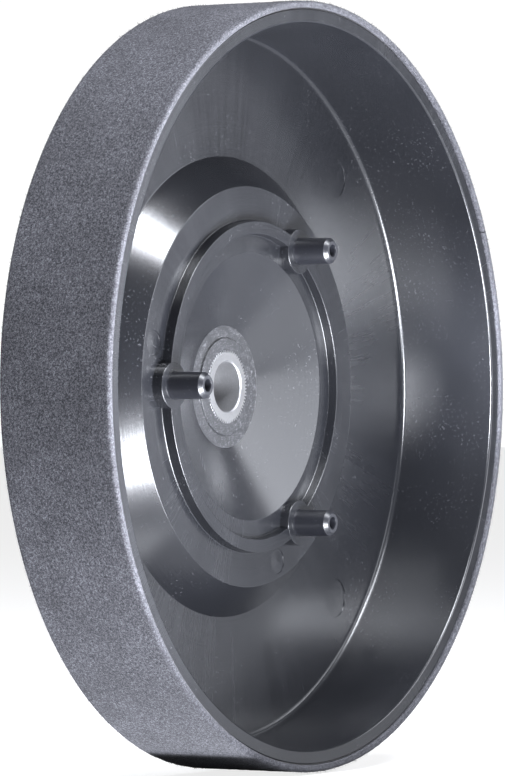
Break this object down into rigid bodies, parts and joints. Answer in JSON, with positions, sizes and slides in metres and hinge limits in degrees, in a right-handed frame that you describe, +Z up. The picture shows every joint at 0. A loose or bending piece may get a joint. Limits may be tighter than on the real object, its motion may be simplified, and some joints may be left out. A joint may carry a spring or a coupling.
{
  "type": "felt polishing wheel",
  "caption": "Cup-shaped moulded wheel with a napped felt band bonded round its rim, a knurled metal bush in a dished hub and hollow drive pegs on a raised rib.",
  "frame": {"origin": "centre of the bounding box, on the wheel's axis", "axes": "+Z up; the wheel turns about Y, its open side faces -Y and its closed back faces +Y; one peg lies on -X"},
  "size_m": [0.18, 0.0352, 0.18],
  "materials": {
    "drum_plastic": "satin moulded plastic with fine turned tool marks",
    "bush_metal": "faced end with a straight knurl",
    "adhesive": "thin contact adhesive",
    "band_felt": "short dense nap",
    "peg_plastic": "satin"
  },
  "bodies": {
    "root": {"drum": "drum_plastic", "hub_bush": "bush_metal", "adhesive_film": "adhesive", "napped_band": "band_felt", "drive_peg_1": "peg_plastic", "drive_peg_2": "peg_plastic", "drive_peg_3": "peg_plastic"}
  },
  "joints": []
}
